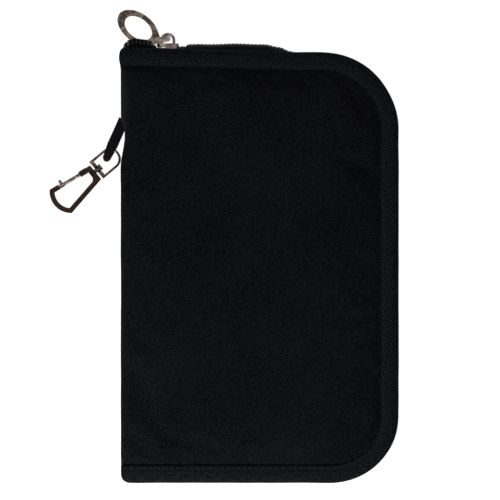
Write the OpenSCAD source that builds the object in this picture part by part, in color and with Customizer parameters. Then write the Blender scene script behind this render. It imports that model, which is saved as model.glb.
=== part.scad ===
// Zip-around passport wallet that opens like a book, lying closed on its back cover.
// Origin: centre of the back cover's underside. +X points away from the spine, +Y along the
// spine towards the zip slider, +Z up through the closed wallet.

/* [Wallet] */
// Width of the closed wallet, from the spine to the opening edge
body_w = 115; // [95:1:140]
// Length of the closed wallet along the spine
body_l = 178.6; // [150:0.1:220]
// Thickness of the closed wallet
body_t = 20; // [18:0.5:26]
// Thickness of one cover at its bound edge
cover_t = 3.6; // [3.4:0.1:4.4]
// Corner radius at the opening edge, slider end
corner_top_r = 33; // [24:1:36]
// Corner radius at the opening edge, far end
corner_bottom_r = 28; // [20:1:34]
// Corner radius at the two ends of the spine
corner_spine_r = 4; // [1:0.5:8]

/* [Cover layers] */
// Height that the outer panel stands proud of the binding
panel_proud = 0.25; // [0.1:0.05:0.4]
// Depth of the padded outer panel from its face to the board
panel_t = 1.2; // [1.1:0.1:1.5]
// Thickness of the stiffener board in each cover
board_t = 1.1; // [0.8:0.1:1.4]
// Width of the binding tape that shows on the face
binding_w = 7.3; // [5:0.1:10]
// Thickness of the binding tape
binding_t = 0.5; // [0.3:0.1:0.6]
// Thickness of the wrapped edge of the binding
binding_edge_t = 0.6; // [0.4:0.1:1]

/* [Spine] */
// Thickness of the outer fabric on the spine
spine_shell_t = 0.8; // [0.5:0.1:1.2]
// Thickness of the foam strip in the spine
spine_foam_t = 1.0; // [0.6:0.1:1.6]
// Thickness of the spine lining
spine_lining_t = 0.5; // [0.3:0.1:0.8]

/* [Interior] */
// Clear height of the passport sleeve
sleeve_gap = 4.2; // [4.2:0.1:4.4]
// Width inside the passport sleeve
sleeve_w = 91; // [80:1:92]
// Length of the passport sleeve
sleeve_l = 112; // [90:1:120]
// Thickness of the sleeve fabric
sleeve_t = 0.5; // [0.4:0.1:0.6]
// Clear height of each card pocket
card_gap = 0.8; // [0.8:0.05:0.9]
// Thickness of each card pocket panel
card_t = 0.4; // [0.3:0.05:0.4]
// Width inside each card pocket
card_w = 88; // [60:1:90]
// Step between the mouths of the card pockets
card_step = 14; // [8:1:16]
// Width of the seam down each side of a pocket
seam_w = 2; // [1:0.5:3]
// Inside diameter of the pen loop
pen_d = 7.4; // [6:0.1:7.6]
// Length of the pen loop
pen_loop_l = 22; // [10:1:40]

/* [Zip] */
// Width of one row of the zip coil
coil_w = 2.85; // [2.2:0.05:2.9]
// Thickness of the zip coil
coil_t = 2.1; // [1.8:0.1:2.4]
// Gap between the two rows of the coil
coil_gap = 0.3; // [0.2:0.1:0.4]
// Thickness of the zip tape
tape_t = 0.6; // [0.4:0.1:0.7]
// Height of the coil above the top edge of the covers
coil_proud = 1.6; // [1:0.1:2]
// Distance of the coil inside the other two edges
coil_inset = 0.5; // [0.2:0.1:1]
// How far the open rows sink away from the chain's centre line
open_spread = 1.8; // [1.6:0.1:2]
// Distance from the spine to the ends of the coil
coil_start = 4.0; // [3:0.5:8]
// Distance from the spine to the slider
slider_at = 19.5; // [18:0.5:26]

/* [Slider and puller] */
// Length of the slider
slider_l = 9; // [8:0.5:11]
// Width of the slider's plates
slider_w = 8.8; // [8.6:0.1:9.4]
// Thickness of each slider plate
plate_t = 1.3; // [1:0.1:1.5]
// Running clearance between the slider and the zip
slide_clear = 0.3; // [0.2:0.05:0.4]
// Thickness of the slider's bridge, and width of the bar
bridge_t = 1.6; // [1.4:0.1:1.8]
// Inside radius of the bridge
bridge_r = 1.9; // [1.8:0.1:2.2]
// Thickness of the bar of the bridge
bridge_bar = 1.2; // [1:0.1:1.4]
// Height of the bridge's legs
bridge_leg = 1.5; // [1.4:0.1:2]
// Diameter of the link's cross bar
link_bar_d = 1.3; // [1.1:0.1:1.5]
// Distance between the link's two pivots
link_l = 5.4; // [5.2:0.1:8]
// Thickness of each of the link's cheeks
cheek_t = 0.6; // [0.5:0.1:0.8]
// Side clearance between the link's cheeks and what they straddle
cheek_clear = 0.25; // [0.15:0.05:0.35]
// Direction in which the link lies
link_angle = 190; // [186:1:190]
// Length of the ring puller's oval
ring_l = 19.4; // [17:0.2:22]
// Width of the ring puller's oval
ring_w = 12; // [10:0.2:12.4]
// Length of the opening in the ring puller
ring_hole_l = 12.8; // [10:0.2:13.2]
// Width of the opening in the ring puller
ring_hole_w = 8; // [6.5:0.2:8.4]
// Distance from the puller's pivot to the middle of its oval
ring_reach = 8.9; // [8.6:0.1:10]
// Thickness of the ring puller
ring_t = 1.6; // [1.2:0.1:1.6]
// Direction in which the ring puller lies
ring_angle = 143; // [130:1:143]
// Diameter of the pin that joins the puller to the link
link_pin_d = 1.1; // [0.9:0.1:1.2]
// Clearance round the pin in the puller's hole
pin_clear = 0.1; // [0.05:0.05:0.15]

/* [Strap] */
// Distance from the middle of the spine to where the strap leaves it
strap_at = 59.2; // [40:0.5:70]
// Width of the strap
strap_w = 4; // [3:0.5:5]
// Thickness of one layer of the strap's webbing
web_t = 0.8; // [0.6:0.1:0.8]
// Length from the spine to the end of the fold
strap_l = 16.9; // [16.6:0.1:18]
// Direction in which the strap lies
strap_angle = 246; // [243:1:248]
// Height of the middle of the strap and the hook
hook_z = 1.9; // [1.8:0.1:2]
// Distance from the cover to the line where the strap bends
bend_out = 1.8; // [1.6:0.1:2.4]

/* [Swivel hook] */
// Direction in which the hook lies
hook_angle = 220; // [216:1:222]
// Diameter of the eye's wire
eye_wire_d = 1.1; // [0.9:0.1:1.2]
// Radius of the eye's bend, to the middle of the wire
eye_r = 4.05; // [3.8:0.05:4.3]
// Distance from the swivel to the middle of the eye's bend
eye_reach = 7; // [6.8:0.1:7.4]
// Clearance between the eye's wire and the strap's fold
eye_clear = 0.2; // [0.15:0.05:0.25]
// Diameter of the swivel post
post_d = 1.7; // [1.4:0.1:1.8]
// Thickness of the hook's frame
frame_t = 2.2; // [2:0.1:2.4]
// Width of the bars of the hook's frame
frame_bar = 2.1; // [1.8:0.1:2.2]
// Spread of the frame's sides from the hook's centre line
frame_taper = 9; // [7:0.5:10]
// Radius of the round end of the hook
frame_end_r = 9.05; // [8.8:0.05:9.4]
// Distance from the swivel to the middle of the round end
frame_end_at = 14.05; // [13.8:0.05:14.6]
// Diameter of the bolt
bolt_d = 1.0; // [0.8:0.1:1]
// Clearance round the bolt in its bore
bolt_clear = 0.1; // [0.05:0.05:0.15]
// Travel of the bolt
bolt_travel = 4; // [3:0.1:4]
// Outside diameter of the bolt's spring
spring_d = 1.7; // [1.6:0.1:1.9]

/* [Hidden] */
$fn = 64;

cloth = [0.07, 0.075, 0.085];
trim = [0.10, 0.105, 0.12];
inside_cloth = [0.13, 0.13, 0.15];
nickel = [0.68, 0.66, 0.63];
dark_nickel = [0.42, 0.39, 0.36];
board = [0.55, 0.55, 0.52];

eps = 0.01;
x_spine = -body_w / 2;
x_open = body_w / 2;
y_top = body_l / 2;
fit = 0.1;               // slack round the stiffener board
edge_gap = 0.15;         // gap at each fold line
board_margin = binding_w + 1.2;
lining_top = cover_t - binding_t;
inner_h = body_t - 2 * cover_t;
z_mid = body_t / 2;
big = 3 * body_l;

// zip: the coil's outer face, then the coil, then the tape behind it
x_coil = x_open - coil_inset;
y_coil_top = y_top + coil_proud;
y_coil_bottom = -y_top + coil_inset;
x_coil_start = x_spine + coil_start;
coil_top = z_mid - coil_gap / 2;
stop_l = 1.6;

// slider: plates in front of and behind the chain
x_slider = x_spine + slider_at;
y_plate = y_coil_top + slide_clear;
y_back_plate = y_coil_top - coil_t - tape_t - slide_clear;
x_part = x_slider - slider_l / 2 + 3;        // where the rows part
y_bridge = y_plate + plate_t + bridge_leg;
bar_up = 0.68;                                // cross bar above the bridge's centre
y_link = y_bridge + bar_up;
x_ring = x_slider + link_l * cos(link_angle);
y_ring = y_link + link_l * sin(link_angle);
cheek_in = bridge_t / 2 + cheek_clear;
cheek_out = cheek_in + cheek_t;

// strap and hook, in frames of their own
x_bend = x_spine - bend_out;
fold_r = web_t + eye_wire_d / 2 + eye_clear;
eye_cross = 11.26;                            // strap length from the spine to the eye's wire
eye_turn = 226;                               // where on the eye's bend the strap holds it
eye_u = -eye_reach + eye_r * cos(eye_turn);
eye_v = eye_r * sin(eye_turn);
fold_start = 7;                               // strap length to where its two layers part
fold_open = 9.5;                              // and to where they are fully apart
fold_slack = 1;                               // how much later the gap between them starts
x_cross = x_spine + eye_cross * cos(strap_angle);
y_cross = strap_at + eye_cross * sin(strap_angle);
x_swivel = x_cross - eye_u * cos(hook_angle) + eye_v * sin(hook_angle);
y_swivel = y_cross - eye_u * sin(hook_angle) - eye_v * cos(hook_angle);
base_in = 1.2;                                // eye's base, from the swivel towards the strap
base_out = 0.4;                               // and towards the hook
head_near = 1.1;                              // the hook's head, from the swivel
head_far = 3.5;
collar_far = 6.8;
gate_start = [6, -3.0];                       // a point on the bolt's centre line
rail_start = [3.5, 3.45];                     // a point on the long side's centre line
gate_open = 6.6;                              // the gate's clear span, along the hook
gate_close = 16.5;
run_clear = 0.1;

// ---- outlines ----

module corner_block(x, y, r, sx, sy) {
  translate([x - sx * r, y - sy * r])
    circle(r = r);
}

// The outline of a cover, drawn in by inset on its three open edges and by left at the spine
module cover_outline(inset, left = 0) {
  xl = x_spine + left;
  xr = x_open - inset;
  yt = y_top - inset;
  rt = corner_top_r - inset;
  rb = corner_bottom_r - inset;
  rs = max(corner_spine_r - max(inset, left), 0.5);
  union() {
    translate([xl, -yt + rs])
      square([rs * 2, 2 * (yt - rs)]);
    translate([xl + rs, -yt])
      square([xr - rb - xl - rs, 2 * yt - rt]);
    translate([xl + rs, 0])
      square([xr - rt - xl - rs, yt]);
    translate([xl + rs, -yt + rb])
      square([xr - xl - rs, 2 * yt - rb - rt]);
    corner_block(xl, yt, rs, -1, 1);
    corner_block(xl, -yt, rs, -1, -1);
    corner_block(xr, yt, rt, 1, 1);
    corner_block(xr, -yt, rb, 1, -1);
  }
}

// The path of the zip round the three open edges, drawn in by inset
module zip_outline(inset) {
  xr = x_coil - inset;
  yt = y_coil_top - inset;
  yb = y_coil_bottom + inset;
  rt = corner_top_r - inset;
  rb = corner_bottom_r - inset;
  union() {
    translate([x_spine, yb])
      square([xr - rb - x_spine, yt - rt - yb]);
    translate([x_spine, yb + rb])
      square([xr - rt - x_spine, yt - yb - rb]);
    translate([x_spine, yb + rb])
      square([xr - x_spine, yt - rt - yb - rb]);
    corner_block(xr, yt, rt, 1, 1);
    corner_block(xr, yb, rb, 1, -1);
  }
}

module zip_band(from, to, x_from, x_to) {
  intersection() {
    difference() {
      zip_outline(from);
      zip_outline(to);
    }
    translate([x_from, -big / 2])
      square([x_to - x_from, big]);
  }
}

module slab(z0, z1) {
  translate([0, 0, z0])
    linear_extrude(z1 - z0)
      children();
}

// The front cover is the back cover turned over about the middle of the wallet
module front() {
  translate([0, 0, body_t])
    mirror([0, 0, 1])
      children();
}

// ---- cover layers, drawn for the back cover ----

module outer_panel() {
  union() {
    slab(0, panel_t)
      cover_outline(binding_w);
    slab(panel_proud + binding_t, panel_t)
      cover_outline(binding_edge_t);
  }
}

module stiffener() {
  slab(panel_t, panel_t + board_t)
    cover_outline(board_margin + fit, board_margin / 2);
}

module lining() {
  difference() {
    slab(panel_t, lining_top)
      cover_outline(binding_edge_t);
    slab(panel_t - eps, panel_t + board_t)
      cover_outline(board_margin, board_margin / 2 - fit);
  }
}

module binding() {
  difference() {
    slab(panel_proud, cover_t)
      cover_outline(0);
    slab(panel_proud - eps, cover_t + eps)
      cover_outline(binding_w, -1);
    slab(panel_proud + binding_t, lining_top)
      cover_outline(binding_edge_t, -1);
  }
}

// A pocket: a panel on a seam down each side and along its closed end
module pocket(w, l, gap, t) {
  difference() {
    linear_extrude(gap + t)
      translate([-w / 2 - seam_w, -seam_w])
        square([w + 2 * seam_w, l + seam_w]);
    translate([-w / 2, 0, -eps])
      cube([w, l + eps, gap + eps]);
  }
}

module zip_tape() {
  union() {
    slab(cover_t, coil_top)
      zip_band(coil_t, coil_t + tape_t, x_part, x_coil);
    slab(cover_t, coil_top - open_spread)
      intersection() {
        zip_band(coil_t, coil_t + tape_t, x_coil_start, x_part);
        translate([-big / 2, 0])
          square(big);
      }
    slab(cover_t, coil_top)
      intersection() {
        zip_band(coil_t, coil_t + tape_t, x_coil_start, x_part);
        translate([-big / 2, -big])
          square(big);
      }
  }
}

module zip_coil() {
  union() {
    slab(coil_top - coil_w, coil_top)
      zip_band(0, coil_t, x_part, x_coil);
    slab(coil_top - coil_w - open_spread, coil_top - open_spread)
      intersection() {
        zip_band(0, coil_t, x_coil_start, x_part);
        translate([-big / 2, 0])
          square(big);
      }
    slab(coil_top - coil_w, coil_top)
      intersection() {
        zip_band(0, coil_t, x_coil_start, x_part);
        translate([-big / 2, -big])
          square(big);
      }
  }
}

// A clip at each end of the coil
module zip_stops() {
  translate([x_coil_start - stop_l, y_coil_top - coil_t, coil_top - coil_w - open_spread])
    cube([stop_l, coil_t, coil_w]);
  translate([x_coil_start - stop_l, y_coil_bottom, coil_top - coil_w])
    cube([stop_l, coil_t, coil_w]);
}

module spine_strip(from, to) {
  translate([x_spine + from, -y_top + corner_spine_r, cover_t + edge_gap])
    cube([to - from, 2 * (y_top - corner_spine_r), inner_h - 2 * edge_gap]);
}

// ---- the nodes ----

module back_outer_panel() {
  color(cloth)
    outer_panel();
}

module back_stiffener() {
  color(board)
    stiffener();
}

module back_lining() {
  color(inside_cloth)
    lining();
}

module back_binding() {
  color(trim)
    binding();
}

module back_zip_tape() {
  color(cloth)
    zip_tape();
}

module back_zip_coil() {
  color(trim)
    zip_coil();
}

module back_zip_stops() {
  color(nickel)
    zip_stops();
}

// Sleeve for the passport, open towards the slider end
sleeve_x = x_open - board_margin - seam_w - sleeve_w / 2;
pocket_dip = 5;          // how far the pockets reach below the far corner's start
pocket_y = -y_top + corner_bottom_r - pocket_dip + seam_w;
module passport_sleeve() {
  color(inside_cloth)
    translate([sleeve_x, pocket_y, lining_top])
      pocket(sleeve_w, sleeve_l, sleeve_gap, sleeve_t);
}

module front_outer_panel() {
  color(cloth)
    front()
      outer_panel();
}

module front_stiffener() {
  color(board)
    front()
      stiffener();
}

module front_lining() {
  color(inside_cloth)
    front()
      lining();
}

module front_binding() {
  color(trim)
    front()
      binding();
}

module front_zip_tape() {
  color(cloth)
    front()
      zip_tape();
}

module front_zip_coil() {
  color(trim)
    front()
      zip_coil();
}

module front_zip_stops() {
  color(nickel)
    front()
      zip_stops();
}

// The boarding pass pocket lies on the front lining, and the card pockets lie on each other
pocket_rise = card_gap + card_t;
pass_l = 96;
card_x = x_open - board_margin - seam_w - card_w / 2;
module stacked_pocket(level, l) {
  front()
    translate([card_x, pocket_y, lining_top + level * pocket_rise])
      pocket(card_w, l, card_gap, card_t);
}

module boarding_pass_pocket() {
  color(inside_cloth)
    stacked_pocket(0, pass_l);
}

module card_pocket_upper() {
  color(inside_cloth)
    stacked_pocket(1, pass_l - card_step);
}

module card_pocket_middle() {
  color(inside_cloth)
    stacked_pocket(2, pass_l - 2 * card_step);
}

module card_pocket_lower() {
  color(inside_cloth)
    stacked_pocket(3, pass_l - 3 * card_step);
}

module spine_outer_panel() {
  color(cloth)
    spine_strip(0, spine_shell_t);
}

module spine_foam() {
  color(board)
    spine_strip(spine_shell_t, spine_shell_t + spine_foam_t);
}

spine_in = spine_shell_t + spine_foam_t + spine_lining_t;
module spine_lining() {
  color(inside_cloth)
    spine_strip(spine_shell_t + spine_foam_t, spine_in);
}

// Elastic loop for a pen, sewn flat against the spine's lining
pen_wall = 0.6;
module pen_loop() {
  color(trim)
    translate([x_spine + spine_in + pen_d / 2 + pen_wall, -pen_loop_l / 2, z_mid])
      rotate([-90, 0, 0])
        difference() {
          cylinder(d = pen_d + 2 * pen_wall, h = pen_loop_l);
          translate([0, 0, -eps])
            cylinder(d = pen_d, h = pen_loop_l + 2 * eps);
        }
}

// ---- slider ----

module at_slider() {
  translate([x_slider, 0, z_mid])
    children();
}

// A plate, wider at the end where the rows part
plate_taper = 0.8;
plate_cut = 1.2;
module slider_plate(y) {
  near = slider_w / 2;
  far = slider_w / 2 - plate_taper;
  translate([0, y + plate_t, 0])
    rotate([90, 0, 0])
      linear_extrude(plate_t)
        polygon([
          [-slider_l / 2, -near + plate_cut], [-slider_l / 2 + plate_cut, -near], [0, -near],
          [slider_l / 2 - plate_taper, -far], [slider_l / 2, -far + plate_taper],
          [slider_l / 2, far - plate_taper], [slider_l / 2 - plate_taper, far], [0, near],
          [-slider_l / 2 + plate_cut, near], [-slider_l / 2, near - plate_cut]
        ]);
}

// Two plates on a wedge that parts the rows, with a flange down each side of the front plate
flange_gap = 0.4;
flange_t = 0.55;
flange_step = 0.5;
wedge_l = 1.8;
wedge_w = 1.6;
module slider_body() {
  flange_in = coil_w + coil_gap / 2 + flange_gap;
  flange_y = y_coil_top - coil_t + slide_clear / 2;
  flange_x = x_part - x_slider + flange_step;
  color(nickel)
    at_slider() {
      union() {
        slider_plate(y_plate);
        slider_plate(y_back_plate - plate_t);
        translate([-slider_l / 2 + fit, y_back_plate - eps, -wedge_w / 2])
          cube([wedge_l, y_plate - y_back_plate + 2 * eps, wedge_w]);
        for (side = [-1, 1])
          translate([flange_x, flange_y, side > 0 ? flange_in : -flange_in - flange_t])
            cube([slider_l / 2 - plate_taper - flange_x, y_plate - flange_y + eps, flange_t]);
      }
    }
}

module slider_bridge() {
  outer = bridge_r + bridge_bar;
  color(nickel)
    at_slider()
      translate([0, y_bridge, 0])
        union() {
          difference() {
            cylinder(r = outer, h = bridge_t, center = true);
            cylinder(r = bridge_r, h = bridge_t + 1, center = true);
            translate([-big / 2, -big, -big / 2])
              cube(big);
          }
          for (side = [-1, 1])
            translate([side * (bridge_r + bridge_bar / 2), -bridge_leg / 2, 0])
              cube([bridge_bar, bridge_leg, bridge_t], center = true);
        }
}

// ---- link and ring puller ----

link_head_r = 1.1;
link_belly_r = 1.2;
link_tail_r = 0.95;
link_tail = 1.8;         // how far the link runs on past its pin
module pull_link() {
  color(nickel)
    translate([x_slider, y_link, z_mid])
      rotate([0, 0, link_angle])
        difference() {
          union() {
            for (side = [-1, 1])
              translate([0, 0, side * (cheek_in + cheek_out) / 2])
                linear_extrude(cheek_t, center = true)
                  hull() {
                    circle(r = link_head_r, $fn = 32);
                    translate([link_l * 0.6, 0])
                      circle(r = link_belly_r, $fn = 32);
                    translate([link_l + link_tail, 0])
                      circle(r = link_tail_r, $fn = 32);
                  }
            cylinder(d = link_bar_d, h = 2 * cheek_out, center = true);
          }
          translate([link_l, 0, 0])
            cylinder(d = link_pin_d, h = 3 * cheek_out, center = true);
        }
}

pin_head_t = 0.25;
pin_head_lip = 0.3;
module link_pin() {
  color(dark_nickel)
    translate([x_ring, y_ring, z_mid])
      union() {
        cylinder(d = link_pin_d, h = 2 * cheek_out, center = true);
        for (side = [-1, 1])
          translate([0, 0, side * (cheek_out + pin_head_t / 2)])
            cylinder(d = link_pin_d + 2 * pin_head_lip, h = pin_head_t, center = true);
      }
}

ring_tip_r = 1.3;
ring_hole_back = 0.2;    // how far the opening sits back from the middle of the oval
ring_heel = [-0.27, -2.15];  // corner of the puller next to the slider
ring_heel_r = 0.5;
module ring_puller() {
  color(dark_nickel)
    translate([x_ring, y_ring, z_mid])
      rotate([0, 0, ring_angle])
        linear_extrude(ring_t, center = true)
          difference() {
            hull() {
              circle(r = ring_tip_r, $fn = 32);
              translate(ring_heel)
                circle(r = ring_heel_r, $fn = 32);
              translate([ring_reach, 0])
                scale([ring_l / ring_w, 1])
                  circle(d = ring_w, $fn = 64);
            }
            translate([ring_reach - ring_hole_back, 0])
              scale([ring_hole_l / ring_hole_w, 1])
                circle(d = ring_hole_w, $fn = 64);
            circle(d = link_pin_d + 2 * pin_clear);
          }
}

// ---- strap ----

module at_strap() {
  translate([x_spine, strap_at, hook_z])
    rotate([0, 0, strap_angle])
      children();
}

// The doubled webbing from the side, with the open fold at its far end
strap_tail = 6;
module strap_side() {
  end = strap_l - fold_r;
  gap_r = fold_r - web_t;
  difference() {
    union() {
      polygon([
        [-strap_tail, -web_t], [fold_start, -web_t], [fold_open, -fold_r], [end, -fold_r],
        [end, fold_r], [fold_open, fold_r], [fold_start, web_t], [-strap_tail, web_t]
      ]);
      translate([end, 0])
        circle(r = fold_r);
    }
    polygon([
      [fold_start + fold_slack, 0], [fold_open + fold_slack / 2, -gap_r], [end, -gap_r],
      [end, gap_r], [fold_open + fold_slack / 2, gap_r]
    ]);
    translate([end, 0])
      circle(r = gap_r);
  }
}

module strap_solid() {
  at_strap()
    rotate([90, 0, 0])
      linear_extrude(strap_w, center = true)
        strap_side();
}

// Length of the slanting cut where the strap crosses a line along the spine
cut_l = strap_w / abs(cos(strap_angle));
bend_y = strap_at - bend_out * tan(strap_angle);

module hook_strap() {
  color(trim)
    union() {
      difference() {
        strap_solid();
        translate([x_bend, -big / 2, -big / 2])
          cube(big);
      }
      translate([x_bend, bend_y, hook_z])
        rotate([90, 0, 0])
          cylinder(r = web_t, h = cut_l, center = true);
    }
}

module strap_anchor() {
  color(trim)
    intersection() {
      strap_solid();
      translate([x_bend + web_t + run_clear, -big / 2, 0])
        cube([bend_out - web_t - run_clear, big, body_t]);
    }
}

// ---- swivel hook ----

module at_hook() {
  translate([x_swivel, y_swivel, hook_z])
    rotate([0, 0, hook_angle])
      children();
}

// A round bar along the hook's axis
module axial(x, d, l) {
  translate([x, 0, 0])
    rotate([0, 90, 0])
      cylinder(d = d, h = l);
}

module at_gate() {
  translate([gate_start[0], gate_start[1], 0])
    rotate([0, 0, -frame_taper])
      children();
}

eye_base_t = 1.7;        // thickness of the eye's base
eye_boss_lip = 0.85;     // wall of its boss round the post
module swivel_eye() {
  base_l = 2 * eye_r + eye_wire_d;
  color(nickel)
    at_hook()
      difference() {
        union() {
          translate([-eye_reach, 0, 0])
            rotate([0, 0, 90])
              rotate_extrude(angle = 180)
                translate([eye_r, 0])
                  circle(d = eye_wire_d);
          for (side = [-1, 1])
            translate([0, side * eye_r, 0])
              axial(-eye_reach, eye_wire_d, eye_reach);
          translate([-base_in, -base_l / 2, -eye_base_t / 2])
            cube([base_in + base_out, base_l, eye_base_t]);
          axial(-base_in, post_d + 2 * eye_boss_lip, base_in + base_out);
        }
        axial(-base_in - 1, post_d + 2 * run_clear, base_in + base_out + 2);
      }
}

post_sunk = 2.6;         // how far the post goes into the hook's head
post_head_l = 0.95;
post_head_lip = 0.55;
post_play = 0.15;        // end play of the post's head on the eye's base
module swivel_post() {
  head_d = post_d + 2 * post_head_lip;
  color(nickel)
    at_hook()
      union() {
        axial(-base_in - post_play, post_d, base_in + post_play + post_sunk);
        axial(-base_in - post_play - post_head_l, head_d, post_head_l);
      }
}

// The side of the frame at distance u along the hook
function rail_v(u) = rail_start[1] + (u - rail_start[0]) * tan(frame_taper);
function gate_v(u) = gate_start[1] - (u - gate_start[0]) * tan(frame_taper);

// Everything between the frame's two sides, grown by g
module frame_field(g, u0) {
  u1 = frame_end_at + frame_end_r + 1;
  intersection() {
    polygon([
      [u0, gate_v(u0) - g], [u1, gate_v(u1) - g],
      [u1, rail_v(u1) + g], [u0, rail_v(u0) + g]
    ]);
    union() {
      translate([frame_end_at, 0])
        circle(r = frame_end_r - frame_bar / 2 + g);
      translate([0, -big / 2])
        square([frame_end_at, big]);
    }
  }
}

bolt_back = -0.8;        // the bolt's inner end, along the gate
bolt_front = 10.9;       // its nose
sleeve_from = 8.4;       // the thick sleeve that carries the knob
sleeve_to = 10.35;
boss_wall = 0.5;
collar_d = 2.6;
gate_side = 1.9;         // how far the gate's cut reaches in from the frame's bar
bore_spare = 0.6;        // depth of the bore past the bolt's drawn end
nose_spare = 0.5;        // depth of the socket past the bolt's nose
socket_from = 10;
inner_r = 2.2;           // round inside corner between the head and the long side
fill_into = 0.3;
fill_bite = 0.06;

// The material that rounds the inside corner between the head and the long side
module corner_fill() {
  centre_u = head_far + inner_r - fill_bite;
  centre_v = rail_v(centre_u) - frame_bar / 2 - inner_r / cos(frame_taper) + fill_bite;
  difference() {
    polygon([
      [head_far - fill_into, centre_v], [centre_u, centre_v],
      [centre_u, rail_v(centre_u)], [head_far - fill_into, rail_v(head_far)]
    ]);
    translate([centre_u, centre_v])
      circle(r = inner_r);
  }
}

module hook_frame() {
  half = frame_bar / 2;
  boss_d = post_d + 2 * boss_wall;
  bore_d = bolt_d + 2 * bolt_clear;
  bore_from = bolt_back - bolt_travel - bore_spare;
  color(dark_nickel)
    at_hook()
      difference() {
        union() {
          linear_extrude(frame_t, center = true)
            corner_fill();
          linear_extrude(frame_t, center = true)
            difference() {
              frame_field(half, head_near);
              frame_field(-half, head_far);
              translate([gate_open, -big / 2])
                square([gate_close - gate_open, big / 2 + gate_v(gate_close) + half + gate_side]);
            }
          axial(head_near, boss_d, head_far - head_near);
          at_gate()
            axial(head_far - gate_start[0], collar_d, collar_far - head_far);
        }
        axial(0, post_d, post_sunk);
        at_gate()
          axial(bore_from, bore_d, collar_far - gate_start[0] + 2 * fit - bore_from);
        at_gate()
          axial(socket_from, bore_d, bolt_front + nose_spare - socket_from);
      }
}

sleeve_d = 2;
knob_d = 1.3;
knob_l = 2.3;
module gate_bolt() {
  color(nickel)
    at_hook()
      at_gate()
        union() {
          axial(bolt_back, bolt_d, bolt_front - bolt_back);
          axial(sleeve_from, sleeve_d, sleeve_to - sleeve_from);
          translate([(sleeve_from + sleeve_to) / 2, 0, 0])
            rotate([90, 0, 0])
              cylinder(d = knob_d, h = knob_l);
        }
}

spring_clear = 0.15;
module bolt_spring() {
  spring_from = collar_far - gate_start[0] + fit;
  spring_to = sleeve_from - fit;
  color(nickel)
    at_hook()
      at_gate()
        difference() {
          axial(spring_from, spring_d, spring_to - spring_from);
          axial(spring_from - eps, bolt_d + 2 * spring_clear, spring_to);
        }
}

back_outer_panel();
back_stiffener();
back_lining();
back_binding();
passport_sleeve();
back_zip_tape();
back_zip_coil();
back_zip_stops();
strap_anchor();
spine_outer_panel();
spine_foam();
spine_lining();
pen_loop();
front_outer_panel();
front_stiffener();
front_lining();
front_binding();
front_zip_tape();
front_zip_coil();
front_zip_stops();
boarding_pass_pocket();
card_pocket_upper();
card_pocket_middle();
card_pocket_lower();
slider_body();
slider_bridge();
pull_link();
link_pin();
ring_puller();
hook_strap();
swivel_eye();
hook_frame();
swivel_post();
gate_bolt();
bolt_spring();
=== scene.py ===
"""Builds the looks of a zip-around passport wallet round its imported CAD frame."""

import math

import bmesh
import bpy
from bpy.props import FloatProperty, FloatVectorProperty, IntProperty, PointerProperty
from mathutils import Matrix, Vector, noise


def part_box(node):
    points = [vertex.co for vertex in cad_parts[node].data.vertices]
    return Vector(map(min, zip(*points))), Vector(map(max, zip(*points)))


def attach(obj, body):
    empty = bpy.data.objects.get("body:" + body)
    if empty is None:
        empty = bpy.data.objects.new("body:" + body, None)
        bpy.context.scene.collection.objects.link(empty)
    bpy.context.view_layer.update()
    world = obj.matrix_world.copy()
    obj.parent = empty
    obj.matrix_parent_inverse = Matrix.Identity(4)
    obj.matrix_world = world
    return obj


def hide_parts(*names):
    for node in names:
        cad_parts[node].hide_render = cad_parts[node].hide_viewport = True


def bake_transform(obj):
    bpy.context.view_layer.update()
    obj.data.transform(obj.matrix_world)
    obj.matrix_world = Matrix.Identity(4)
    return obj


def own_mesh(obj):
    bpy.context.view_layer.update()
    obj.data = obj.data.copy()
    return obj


bl_info = {
    "name": "Passport wallet looks",
    "version": (1, 0, 0),
    "blender": (4, 5, 0),
    "location": "3D View > Sidebar > Wallet",
    "description": "Fabric, zip and metal pieces of a passport wallet, built round its CAD frame",
    "category": "Object",
}

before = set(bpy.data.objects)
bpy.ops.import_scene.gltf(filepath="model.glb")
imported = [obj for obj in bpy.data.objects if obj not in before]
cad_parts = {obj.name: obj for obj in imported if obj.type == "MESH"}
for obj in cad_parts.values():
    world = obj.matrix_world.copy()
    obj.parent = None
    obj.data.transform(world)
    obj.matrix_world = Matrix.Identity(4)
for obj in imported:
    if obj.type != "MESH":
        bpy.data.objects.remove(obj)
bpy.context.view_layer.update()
MM = 0.001

# ---- places taken from the frame ----

COVER_LOW, COVER_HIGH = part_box("front_binding")
FACE_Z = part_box("front_outer_panel")[1].z
MID_Z = FACE_Z / 2
COVER_T = FACE_Z - COVER_LOW.z
LEFT, RIGHT = COVER_LOW.x, COVER_HIGH.x
BOTTOM, TOP = COVER_LOW.y, COVER_HIGH.y
COIL_LOW, COIL_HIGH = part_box("front_zip_coil")
SLIDER_LOW, SLIDER_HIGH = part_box("slider_body")
SLIDER_X = (SLIDER_LOW.x + SLIDER_HIGH.x) / 2
PLATE_T = 1.3 * MM
CHAIN_TOP = SLIDER_HIGH.y - PLATE_T - 0.3 * MM
TURN_OVER = Matrix.Translation((0, 0, FACE_Z)) @ Matrix.Scale(-1, 4, (0, 0, 1))


# ---- sizes and colours ----


def length(name, description, millimetres):
    return FloatProperty(
        name=name,
        description=description,
        default=millimetres * MM,
        min=0,
        precision=5,
        subtype="DISTANCE",
        unit="LENGTH",
    )


def turn(name, description, degrees):
    return FloatProperty(
        name=name,
        description=description,
        default=math.radians(degrees),
        subtype="ANGLE",
        unit="ROTATION",
    )


def colour(name, description, value):
    return FloatVectorProperty(
        name=name,
        description=description,
        default=value,
        size=3,
        min=0,
        max=1,
        subtype="COLOR",
    )


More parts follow.
